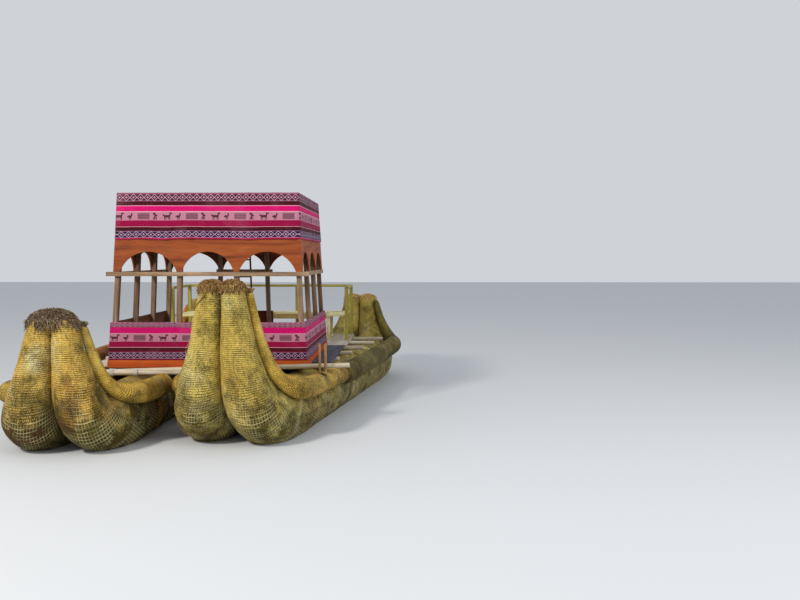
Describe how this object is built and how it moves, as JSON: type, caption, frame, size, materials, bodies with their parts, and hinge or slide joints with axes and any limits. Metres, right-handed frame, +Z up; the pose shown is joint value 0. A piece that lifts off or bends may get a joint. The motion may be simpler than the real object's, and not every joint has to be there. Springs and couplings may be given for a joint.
{
  "type": "reed boat",
  "caption": "Double hulled boat of tied reed bundles with upturned ends, a cloth hung arcaded pavilion on a board deck, a ladder to its roof and a railed rear deck with benches.",
  "frame": {"origin": "middle of the boat's outline seen from above, at the underside of the reed bundles", "axes": "+Y from the bow to the stern, +X to starboard, +Z up"},
  "size_m": [4.7606, 7.4516, 3.3144],
  "materials": {
    "reed_bundle": "dry tied reeds, yellow to brown",
    "reed_gunwale": "finer bound reeds, sun bleached",
    "reed_ends": "frayed cut reed ends",
    "pole_wood": "peeled weathered poles",
    "deck_board": "weathered boards",
    "side_board_dark": "slate stained board",
    "base_paint": "worn orange paint on boards",
    "post_wood": "brown rough wood",
    "arch_paint": "brown red painted board",
    "parapet_wood": "brown board",
    "woven_cloth": "striped pink and maroon weave",
    "roof_board": "weathered boards",
    "railing_paint": "olive yellow paint, worn",
    "bench_wood": "cream painted boards",
    "ladder_wood": "round sticks",
    "stake_wood": "dark peeled stakes"
  },
  "bodies": {
    "root": {"base_boards": "base_paint", "bench_apron": "bench_wood", "bench_legs": "bench_wood", "bench_seats": "bench_wood", "corner_posts": "post_wood", "cross_poles": "pole_wood", "end_posts": "post_wood", "front_arch_panel": "arch_paint", "front_parapet": "parapet_wood", "ladder": "ladder_wood", "level_front_pole": "pole_wood", "mid_rails": "post_wood", "parapet_cloth": "woven_cloth", "pavilion_floor": "deck_board", "port_arch_panel": "arch_paint", "port_bow_cap": "reed_ends", "port_inner_bow_gunwale": "reed_gunwale", "port_inner_bundle": "reed_bundle", "port_outer_bow_gunwale": "reed_gunwale", "port_outer_bundle": "reed_bundle", "port_parapet": "parapet_wood", "port_side_gunwale": "reed_gunwale", "port_side_plank": "deck_board", "port_stern_cap": "reed_ends", "railing_bars": "railing_paint", "railing_posts": "railing_paint", "rear_arch_panel": "arch_paint", "rear_deck": "deck_board", "rear_parapet": "parapet_wood", "roof_boards": "roof_board", "roof_frame": "post_wood", "side_posts": "post_wood", "starboard_arch_panel": "arch_paint", "starboard_bow_cap": "reed_ends", "starboard_inner_bow_gunwale": "reed_gunwale", "starboard_inner_bundle": "reed_bundle", "starboard_outer_bow_gunwale": "reed_gunwale", "starboard_outer_bundle": "reed_bundle", "starboard_parapet": "parapet_wood", "starboard_side_gunwale": "reed_gunwale", "starboard_side_plank": "side_board_dark", "starboard_stern_cap": "reed_ends", "thole_stakes": "stake_wood", "tilted_front_pole": "pole_wood", "valance_cloth": "woven_cloth"}
  },
  "joints": []
}
